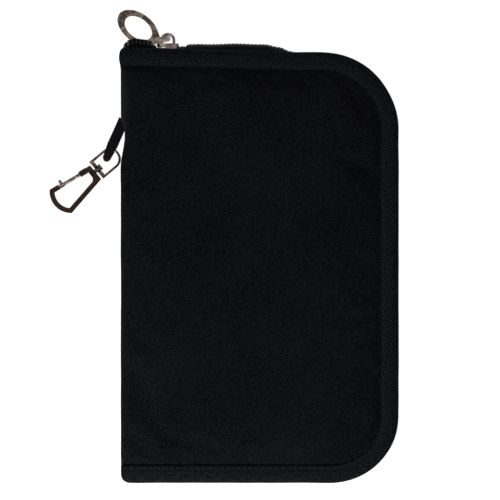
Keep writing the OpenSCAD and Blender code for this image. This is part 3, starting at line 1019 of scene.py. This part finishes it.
def spine_half(side):
    """Half of the spine's outer fabric, padded, next to one cover."""
    low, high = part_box("spine_outer_panel")
    bm = bmesh.new()
    bmesh.ops.create_grid(bm, x_segments=10, y_segments=90, size=0.5)
    edge = FACE_Z - COVER_T + 0.7 * MM
    past_ends = 2.5 * MM
    fullness = 0.35 * MM
    for v in bm.verts:
        t = v.co.x + 0.5
        z = blend_value(MID_Z, edge, t)
        y = blend_value(low.y - past_ends, high.y + past_ends, v.co.y + 0.5)
        puff = fullness * math.cos((z - MID_Z) / (edge - MID_Z) * math.pi / 2)
        puff += noise.noise(Vector((z * 80, y * 50, 5.0))) * 0.1 * MM
        v.co = (LEFT - puff + fullness, y, z)
    layer = bm.loops.layers.uv.new("run")
    for face in bm.faces:
        for loop in face.loops:
            loop[layer].uv = (loop.vert.co.y, loop.vert.co.z)
    thicken(bm, 1.2 * MM, Vector((-1, 0, 0)))
    on_side(bm, side)
    settle_all(bm)
    nodes_held = ("spine_outer_panel", "spine_foam") if side == "front" else ()
    piece = add_piece(
        f"spine_cloth_{side}", bm, spine_cloth(), None, nodes_held, 60
    )
    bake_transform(piece)


def spine_inside():
    """The lining on the inside of the spine."""
    low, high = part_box("spine_lining")
    bm = bmesh.new()
    bmesh.ops.create_grid(bm, x_segments=8, y_segments=60, size=0.5)
    for v in bm.verts:
        y = blend_value(low.y, high.y, v.co.y + 0.5)
        z = blend_value(low.z, high.z, v.co.x + 0.5)
        soft = noise.noise(Vector((y * 60, z * 60, 2.0))) * 0.1 * MM
        v.co = (low.x + 0.2 * MM + soft, y, z)
    thicken(bm, 0.4 * MM, Vector((1, 0, 0)))
    settle_all(bm)
    piece = add_piece(
        "spine_lining_cloth", bm, lining_cloth(), "spine", ("spine_lining",), 60
    )


def pen_loop():
    """An elastic band, sewn flat to the spine and open at both ends."""
    low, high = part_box("pen_loop")
    radius = (high.x - low.x) / 2
    centre = Vector(((low.x + high.x) / 2, low.y, (low.z + high.z) / 2))
    sewn_flat = -0.93  # where the band is pressed against the spine, as a share of its radius
    sides = 40
    profile = []
    for i in range(sides):
        angle = 2 * math.pi * i / sides
        out = max(math.cos(angle), sewn_flat)
        profile.append((radius * out, radius * math.sin(angle)))
    stations = []
    lengths = 18
    for i in range(lengths + 1):
        run = (high.y - low.y) * i / lengths
        stations.append((centre + Vector((0, run, 0)), Vector((1, 0, 0)), run))

    def shape(station, out, up):
        place, _, run = station
        grip = 1 - 0.03 * math.cos(2 * math.pi * run / (high.y - low.y))
        return Vector((place.x + out * min(grip, 1), place.y, place.z + up * min(grip, 1)))

    bm = sweep(stations, profile, shape)
    ends = [f for f in bm.faces if len(f.verts) > 4]
    bmesh.ops.delete(bm, geom=ends, context="FACES_ONLY")
    faces = list(bm.faces)
    bmesh.ops.recalc_face_normals(bm, faces=faces)
    outward = sum((f.calc_center_median() - centre).dot(f.normal) for f in faces)
    if outward < 0:
        bmesh.ops.reverse_faces(bm, faces=faces)
    bmesh.ops.solidify(bm, geom=faces, thickness=0.55 * MM)
    add_piece("pen_loop_elastic", bm, elastic_knit(), "spine", ("pen_loop",), 60)


# ---- pockets ----

POCKET_CLOTH = 0.38 * MM
SEWN_DOWN = 0.12  # height of a pocket at its seams, as a share of its own height


def pocket(node, body, mouth, lift, folds=0.0):
    """A sewn pocket panel: held down at its sides and its closed end, slack at its mouth."""
    low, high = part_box(node)
    up = body == "back_cover"
    floor_z = low.z if up else high.z
    rise = (high.z - low.z - 0.45 * MM) * (1 if up else -1)
    wide, tall = high.x - low.x, high.y - low.y
    bm = bmesh.new()
    bmesh.ops.create_grid(
        bm, x_segments=max(round(wide / (3 * MM)), 8), y_segments=max(round(tall / (3 * MM)), 8),
        size=0.5,
    )
    for v in bm.verts:
        u, w = v.co.x + 0.5, v.co.y + 0.5
        x, y = low.x + wide * u, low.y + tall * w
        side_gap = min(u, 1 - u) * wide
        swell_up = smooth_step(side_gap, 0.6 * MM, lift * MM)
        swell_up *= smooth_step(w * tall, 0.6 * MM, lift * MM)
        sag = 0.0 if w < 0.5 else folds * MM * math.sin(math.pi * u) * smooth_step(w, 0.5, 1)
        soft = noise.noise(Vector((x * 50, y * 50, floor_z * 500))) * 0.08 * MM * swell_up
        v.co = (x, y - sag, floor_z + rise * blend_value(SEWN_DOWN, 1.0, swell_up) + soft)
    thicken(bm, POCKET_CLOTH, UPWARDS if up else -UPWARDS)
    piece = add_piece(f"{node}_cloth", bm, lining_cloth(), body, (node,), 60)
    hem = pocket_hem(node, body, low, high, floor_z, rise, lift, folds, mouth)


def pocket_hem(node, body, low, high, floor_z, rise, lift, folds, width):
    """The tape folded over a pocket's mouth."""
    half = 0.36 * MM
    nose = 0.25 * MM
    profile = [
        (-width * MM, half), (0, half), (nose, 0), (0, -half), (-width * MM, -half),
    ]
    wide = high.x - low.x
    stations = []
    count = 40
    for i in range(count + 1):
        u = i / count
        gap = smooth_step(min(u, 1 - u) * wide, 0.6 * MM, lift * MM)
        z = floor_z + rise * blend_value(SEWN_DOWN, 1.0, gap)
        sag = folds * MM * math.sin(math.pi * u)
        stations.append((Vector((low.x + wide * u, high.y - sag, z)), None, wide * u))

    cloth_middle = math.copysign(POCKET_CLOTH / 2, rise)

    def shape(station, out, up):
        place = station[0]
        return Vector((place.x, place.y + out, place.z + up - cloth_middle))

    bm = sweep(stations, profile, shape)
    return add_piece(f"{node}_hem", bm, herringbone(), body, (), 60)


# ---- zip ----

CHAIN_REST = -0.9 * MM  # the chain's outer face, beyond the covers' edge, on plain stretches
CURL_DEEP = 2.3 * MM  # the line that an open row turns about: depth behind the outer face
CURL_UP = 4.9 * MM  # and height above the mid plane


def chain_out(x):
    """How far the chain's outer face stands beyond the covers' edge along the slider end."""
    stretches = [
        (LEFT, -1.8), (-54.6 * MM, 0.8), (-52 * MM, 1.6), (-47.5 * MM, 1.1), (-44.5 * MM, 0.7),
        (-43 * MM, 1.6), (-41.5 * MM, 1.6),
        (SLIDER_X, (CHAIN_TOP - TOP) / MM), (-32 * MM, 2.3), (-24 * MM, 2.7), (-8 * MM, 3.3),
        (2 * MM, 3.3), (8 * MM, 2.3), (13 * MM, 0.8), (18 * MM, -0.8), (RIGHT, CHAIN_REST / MM),
    ]
    for (x0, out0), (x1, out1) in zip(stretches, stretches[1:]):
        if x <= x1:
            return blend_value(out0, out1, smooth_step(x, x0, x1)) * MM
    return CHAIN_REST


def chain_curl(x):
    """How far the open rows have turned out, left of the slider."""
    return smooth_step(-x, 42 * MM, 46.5 * MM) * (1 - 0.35 * smooth_step(-x, 53 * MM, 57 * MM))


def chain_shape(curl):
    """Places a point of the front zip row: out from the chain's outer face, up from the mid."""

    def shape(station, out, up):
        place, outward, _ = station
        on_top = outward.y > 0.5 and place.y > 0
        if on_top:
            x = place.x
            levelled = LEFT < x < SLIDER_X + 8 * MM
            reach = chain_out(x) - (lean_at(x) if levelled else 0)
            turned = chain_curl(x) * curl
        else:
            reach = CHAIN_REST
            turned = 0.0
        reach = blend_value(reach, CHAIN_REST, smooth_step(up, 4.5 * MM, 6.6 * MM))
        dx, dz = out + CURL_DEEP, up - CURL_UP
        if up < CURL_UP and turned:
            cosine, sine = math.cos(turned), math.sin(turned)
            dx, dz = dx * cosine - dz * sine, dx * sine + dz * cosine
            dx += 1.0 * MM * sine
        flat = place + outward * (reach - CURL_DEEP + dx)
        return Vector((flat.x, flat.y, MID_Z + CURL_UP + dz))

    return shape


TAPE_PROFILE = [
    (-3.2, 7.0), (-2.9, 6.3), (-2.3, 5.4), (-1.9, 4.6), (-1.3, 3.4), (-1.2, 2.0), (-1.3, 0.12),
    (-2.5, 0.12), (-2.6, 2.0), (-2.6, 3.4), (-2.7, 4.6), (-2.95, 5.4), (-3.3, 6.2), (-3.6, 7.0),
]


def zip_tape(side):
    """The woven tape from the binding to the teeth of one row."""
    s = sizes()
    shape = chain_shape(s.curl if side == "front" else s.curl * 0.5)
    points = [(out * MM, up * MM) for out, up in TAPE_PROFILE]
    bm = sweep(route(LEFT + 0.3 * MM, LEFT + 3 * MM, 1.5 * MM), points, shape)
    on_side(bm, side)
    settle_all(bm)
    add_piece(
        f"{side}_tape_cloth", bm, zip_tape_cloth(), cover_body(side),
        (f"{side}_zip_tape",), 60,
    )


def zip_teeth(side):
    """One row of nylon teeth. The stretch over the slider end is a piece of its own."""
    s = sizes()
    shape = chain_shape(s.curl if side == "front" else s.curl * 0.5)
    stations = route(LEFT + 1.6 * MM, LEFT + 4 * MM, 0.8 * MM)
    phase = 0.0 if side == "front" else 0.5
    rows = {"over": bmesh.new(), "round": bmesh.new()}
    over_end = 18 * MM  # where the rows are back inside the covers
    for station in along_route(stations, s.tooth_pitch, phase * s.tooth_pitch):
        on_top = station[1].y > 0.5 and station[0].y > 0
        bm = rows["over" if on_top and station[0].x < over_end else "round"]
        add_tooth(bm, station, shape, s.tooth_width)
    for part, bm in rows.items():
        on_side(bm, side)
        settle_all(bm)
        stands_for = (f"{side}_zip_coil",) if part == "round" else ()
        piece = add_piece(
            f"{side}_teeth_{part}", bm, coil_nylon(), cover_body(side), stands_for, 35
        )
        if part == "over":
            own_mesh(piece)


def rounded(value, power):
    return math.copysign(abs(value) ** power, value)


def add_tooth(bm, station, shape, width):
    """A tooth: a nylon loop, fuller at its head, standing across the row."""
    place, outward, run = station
    tangent = Vector((outward.y, -outward.x, 0))
    made = bmesh.ops.create_uvsphere(bm, u_segments=8, v_segments=7, radius=1.0)
    for v in made["verts"]:
        a = rounded(v.co.x, 0.7) * 0.5
        out = rounded(v.co.y, 0.7) * 0.5
        up = rounded(v.co.z, 0.6) * 0.5
        head = 1.12 if up < -0.2 else 0.92
        slant = up * 0.15 * MM
        moved = (place + tangent * (a * width * head + slant), outward, run)
        v.co = shape(moved, (out - 0.5) * 2.1 * MM, (0.05 + (up + 0.5) * 3.05) * MM)


# ---- strap ----


def heading(angle):
    """The level directions along an angle and across it."""
    along = Vector((math.cos(angle), math.sin(angle), 0))
    return along, Vector((-along.y, along.x, 0))


def strap_frame():
    """Where the strap leaves the spine, and its directions along and across."""
    low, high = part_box("strap_anchor")
    along, across = heading(sizes().strap_heading)
    start = Vector((LEFT, sizes().strap_place, (low.z + high.z) / 2))
    return start, along, across


def strap():
    """The hook's strap: webbing that runs out, round the eye's wire and back, sewn together."""
    s = sizes()
    start, along, across = strap_frame()
    low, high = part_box("hook_strap")
    half = s.web / 2
    loop_r = (high.z - low.z) / 2 - half
    end = s.strap_reach - loop_r - half
    line = [(-2.5 * MM, -half * 1.02), (2.0 * MM, -half * 1.02), (4.4 * MM, -half * 1.05)]
    line += [(6.0 * MM, -half * 1.7), (7.6 * MM, -loop_r), (9.5 * MM, -loop_r), (end, -loop_r)]
    for i in range(1, 12):
        angle = -math.pi / 2 + math.pi * i / 12
        line.append((end + loop_r * math.cos(angle), loop_r * math.sin(angle)))
    line += [(a, -h) for a, h in reversed(line[:7])]
    stations = []
    run = 0.0
    for i, (a, h) in enumerate(line):
        back = line[max(i - 1, 0)]
        ahead = line[min(i + 1, len(line) - 1)]
        if i:
            run += math.dist(line[i - 1], (a, h))
        way = Vector((ahead[0] - back[0], ahead[1] - back[1])).normalized()
        stations.append((Vector((a, h, 0)), Vector((way.y, -way.x, 0)), run))
    wide = s.strap_width / 2
    profile = [
        (wide * 0.9, half * 0.92), (wide * 0.45, half * 0.96), (0, half * 0.97),
        (-wide * 0.45, half * 0.96), (-wide * 0.9, half * 0.92), (-wide, half * 0.4),
        (-wide, -half * 0.4), (-wide * 0.9, -half * 0.92), (-wide * 0.45, -half * 0.96),
        (0, -half * 0.97), (wide * 0.45, -half * 0.96), (wide * 0.9, -half * 0.92),
        (wide, -half * 0.4), (wide, half * 0.4),
    ]

    def shape(station, out, up):
        place, normal, _ = station
        narrow = 1.1 - 0.25 * smooth_step(place.x, end - 3.5 * MM, end)
        a = place.x + normal.x * up
        a -= 1.3 * MM * (out / wide) ** 2 * smooth_step(place.x, end - 1.5 * MM, end + loop_r)
        h = place.y + normal.y * up
        return start + along * a + across * out * narrow + Vector((0, 0, h))

    bm = sweep(stations, profile, shape)
    piece = add_piece(
        "hook_strap_webbing", bm, webbing(), None,
        ("hook_strap", "strap_anchor"), 50,
    )
    cross_stitches(start, along, across)
    LEFT - 0.6 * MM
    LEFT - 3.0 * MM
    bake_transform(piece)


def cross_stitches(start, along, across):
    """The bar of stitches that closes the strap's fold, on both faces."""
    s = sizes()
    bm = bmesh.new()
    for face in (-1, 1):
        for i in range(9):
            place = start + along * (4.6 * MM + (i % 2) * 0.55 * MM)
            place += across * (i - 4) * 0.4 * MM + Vector((0, 0, face * s.web * 1.02))
            add_stitch(bm, place, (along, across, UPWARDS), (0.9 * MM, 0.3 * MM, 0.26 * MM))
    add_piece("hook_strap_stitches", bm, sewing_thread(), "strap", (), 80)


# ---- hardware ----


def bolt_spring():
    """A wound wire spring on the bolt, built at its rest length; the real one closes up as the
    bolt draws back.
    """
    s = sizes()
    low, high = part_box("bolt_spring")
    along, across = heading(s.bolt_heading)
    centre = (low + high) / 2
    span = s.spring_length
    radius = (high.z - low.z) / 2 - s.spring_wire / 2
    per_turn = 14
    stations = []
    count = s.spring_turns * per_turn
    for i in range(count + 1):
        phase = 2 * math.pi * i / per_turn
        radial = across * math.cos(phase) + Vector((0, 0, math.sin(phase)))
        place = centre + along * (span * (i / count - 0.5)) + radial * radius
        stations.append((place, radial, i * 2 * math.pi * radius / per_turn))
    wire = s.spring_wire / 2
    sides = 8
    corners = [2 * math.pi * i / sides for i in range(sides)]
    profile = [(wire * math.cos(angle), wire * math.sin(angle)) for angle in corners]

    def shape(station, out, up):
        place, radial, _ = station
        return place + radial * out + along * up

    bm = sweep(stations, profile, shape)
    piece = add_piece("bolt_spring_coil", bm, nickel(), "hook", ("bolt_spring",), 60)
    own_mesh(piece)


METAL_PIECES = [
    ("slider_body", "zip_slider", 0.4, "nickel"),
    ("slider_bridge", "zip_slider", 0.45, "nickel"),
    ("pull_link", "link", 0.3, "nickel"),
    ("link_pin", "link", 0.08, "nickel"),
    ("ring_puller", "ring", 0.72, "old_nickel"),
]
HOOK_PIECES = [
    ("swivel_eye", "eye", 0.2, "old_nickel"),
    ("swivel_post", "hook", 0.25, "nickel"),
    # the frame's dark finish is a painted dark reflection
    ("hook_frame", "hook", 0.55, "dark_nickel"),
    ("gate_bolt", "bolt", 0.16, "nickel"),
]


def metal_pieces(listed):
    finishes = {"nickel": nickel, "dark_nickel": dark_nickel, "old_nickel": old_nickel}
    for node, body, radius, finish in listed:
        rounded_copy(node, radius * MM, finishes[finish](), body)


def plate_stops():
    """The metal stops at the rows' ends stay as the frame has them, plated."""
    for node in ("front_zip_stops", "back_zip_stops"):
        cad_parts[node].data.materials.clear()
        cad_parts[node].data.materials.append(nickel())


# ---- stage ----

FLOOR_GAP = 0.1 * MM


def stage():
    """A pale floor, soft light and the camera looking straight down."""
    scene = bpy.context.scene
    scene.view_settings.view_transform = "Standard"
    bm = bmesh.new()
    bmesh.ops.create_grid(bm, x_segments=1, y_segments=1, size=3)
    mesh = bpy.data.meshes.new("floor")
    bm.to_mesh(mesh)
    bm.free()
    for v in mesh.vertices:
        v.co.z = -FLOOR_GAP
    floor = bpy.data.objects.new("floor", mesh)
    floor.data.materials.append(studio_floor())
    scene.collection.objects.link(floor)

    world = bpy.data.worlds.new("studio")
    world.use_nodes = True
    tree = world.node_tree
    background = tree.nodes["Background"]
    place = tree.nodes.new("ShaderNodeTexCoord")
    split = tree.nodes.new("ShaderNodeSeparateXYZ")
    ramp = tree.nodes.new("ShaderNodeValToRGB")
    dim, bright = ramp.color_ramp.elements  # the sky is bright only overhead
    dim.position = 0.75
    dim.color = (0.06, 0.06, 0.06, 1)
    bright.position = 0.94
    bright.color = (1, 1, 1, 1)
    tree.links.new(place.outputs["Generated"], split.inputs[0])
    tree.links.new(split.outputs["Z"], ramp.inputs["Fac"])
    tree.links.new(ramp.outputs["Color"], background.inputs["Color"])
    background.inputs["Strength"].default_value = 0.8
    scene.world = world

    area_light("left_softbox", (-0.3, -0.42, 0.24), 0.22, 3.3)
    area_light("right_softbox", (0.8, 0.1, 0.6), 0.6, 0.9)
    area_light("top_softbox", (0.0, 0.8, 0.5), 0.6, 0.7)

    camera_data = bpy.data.cameras.new("camera")
    camera_data.sensor_width = 36
    distance = 1.6
    view_width = 207.5 * MM
    camera_data.lens = camera_data.sensor_width * (distance - MID_Z) / view_width
    camera_data.clip_end = 20
    camera = bpy.data.objects.new("camera", camera_data)
    camera.location = (-3.94 * MM, 6.93 * MM, distance)
    scene.collection.objects.link(camera)
    scene.camera = camera


def area_light(name, place, size, power):
    data = bpy.data.lights.new(name, "AREA")
    data.size = size
    data.energy = power
    light = bpy.data.objects.new(name, data)
    light.location = place
    light.rotation_euler = Vector(place).to_track_quat("Z", "Y").to_euler()
    bpy.context.scene.collection.objects.link(light)


# ---- operators ----


class WALLET_OT_outer_panels(bpy.types.Operator):
    """Padded outer panels of the two covers"""

    bl_idname = "wallet.outer_panels"
    bl_label = "Outer panels"

    def execute(self, context):
        for side in ("back", "front"):
            outer_panel(side)
        return {"FINISHED"}


class WALLET_OT_bindings(bpy.types.Operator):
    """Binding tape round the open edges, with its stitching"""

    bl_idname = "wallet.bindings"
    bl_label = "Bindings"

    def execute(self, context):
        for side in ("back", "front"):
            binding(side)
            stitch_row(side, STITCH_OUT, 0.16, f"{side}_stitches_outside", 0.0)
            stitch_row(side, STITCH_OUT, 3.68, f"{side}_stitches_inside", 0.5)
        return {"FINISHED"}


class WALLET_OT_linings(bpy.types.Operator):
    """Linings of the covers, and the stiffener boards they hold"""

    bl_idname = "wallet.linings"
    bl_label = "Linings"

    def execute(self, context):
        for side in ("back", "front"):
            lining(side)
            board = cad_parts[f"{side}_stiffener"].data
            board.materials.clear()
            board.materials.append(stiff_board())
        return {"FINISHED"}


class WALLET_OT_spine(bpy.types.Operator):
    """Outer fabric and lining of the spine, and the pen loop sewn to it"""

    bl_idname = "wallet.spine"
    bl_label = "Spine"

    def execute(self, context):
        for side in ("back", "front"):
            spine_half(side)
        spine_inside()
        pen_loop()
        return {"FINISHED"}


class WALLET_OT_pockets(bpy.types.Operator):
    """Passport sleeve, boarding pass pocket and card pockets"""

    bl_idname = "wallet.pockets"
    bl_label = "Pockets"

    def execute(self, context):
        pocket("passport_sleeve", "back_cover", 3.5, 5.0, 2.5)
        for node in (
            "boarding_pass_pocket", "card_pocket_upper", "card_pocket_middle", "card_pocket_lower",
        ):
            pocket(node, "front_cover", 2.5, 3.0)
        return {"FINISHED"}


class WALLET_OT_zip(bpy.types.Operator):
    """Zip tapes, rows of teeth and their stops"""

    bl_idname = "wallet.zip"
    bl_label = "Zip"

    def execute(self, context):
        for side in ("back", "front"):
            zip_tape(side)
            zip_teeth(side)
        plate_stops()
        return {"FINISHED"}


class WALLET_OT_slider(bpy.types.Operator):
    """Zip slider, its link and the ring puller"""

    bl_idname = "wallet.slider"
    bl_label = "Slider and puller"

    def execute(self, context):
        metal_pieces(METAL_PIECES)
        return {"FINISHED"}


class WALLET_OT_strap(bpy.types.Operator):
    """Strap of the hook, with the stitches that close its fold"""

    bl_idname = "wallet.strap"
    bl_label = "Strap"

    def execute(self, context):
        strap()
        return {"FINISHED"}


class WALLET_OT_hook(bpy.types.Operator):
    """Swivel hook, with its eye, bolt and spring"""

    bl_idname = "wallet.hook"
    bl_label = "Swivel hook"

    def execute(self, context):
        metal_pieces(HOOK_PIECES)
        bolt_spring()
        return {"FINISHED"}


class WALLET_OT_stage(bpy.types.Operator):
    """Floor, lights and camera"""

    bl_idname = "wallet.stage"
    bl_label = "Stage"

    def execute(self, context):
        stage()
        return {"FINISHED"}


STEPS = (
    WALLET_OT_outer_panels,
    WALLET_OT_bindings,
    WALLET_OT_linings,
    WALLET_OT_spine,
    WALLET_OT_pockets,
    WALLET_OT_zip,
    WALLET_OT_slider,
    WALLET_OT_strap,
    WALLET_OT_hook,
    WALLET_OT_stage,
)


class WALLET_PT_panel(bpy.types.Panel):
    """Lists the wallet's steps, sizes and colours"""

    bl_idname = "WALLET_PT_panel"
    bl_label = "Passport wallet"
    bl_space_type = "VIEW_3D"
    bl_region_type = "UI"
    bl_category = "Wallet"

    def draw(self, context):
        for step in STEPS:
            self.layout.operator(step.bl_idname)
        for group in (context.scene.wallet_sizes, context.scene.wallet_colours):
            box = self.layout.box()
            for name in group.bl_rna.properties.keys():
                if name not in ("rna_type", "name"):
                    box.prop(group, name)


CLASSES = (WalletSizes, WalletColours, *STEPS, WALLET_PT_panel)


def register():
    for each in CLASSES:
        bpy.utils.register_class(each)
    bpy.types.Scene.wallet_sizes = PointerProperty(type=WalletSizes)
    bpy.types.Scene.wallet_colours = PointerProperty(type=WalletColours)


def unregister():
    del bpy.types.Scene.wallet_colours
    del bpy.types.Scene.wallet_sizes
    for each in reversed(CLASSES):
        bpy.utils.unregister_class(each)


def main():
    register()
    bpy.ops.wallet.outer_panels()
    bpy.ops.wallet.bindings()
    bpy.ops.wallet.linings()
    bpy.ops.wallet.spine()
    bpy.ops.wallet.pockets()
    bpy.ops.wallet.zip()
    bpy.ops.wallet.slider()
    bpy.ops.wallet.strap()
    bpy.ops.wallet.hook()
    bpy.ops.wallet.stage()


if __name__ == "__main__":
    main()
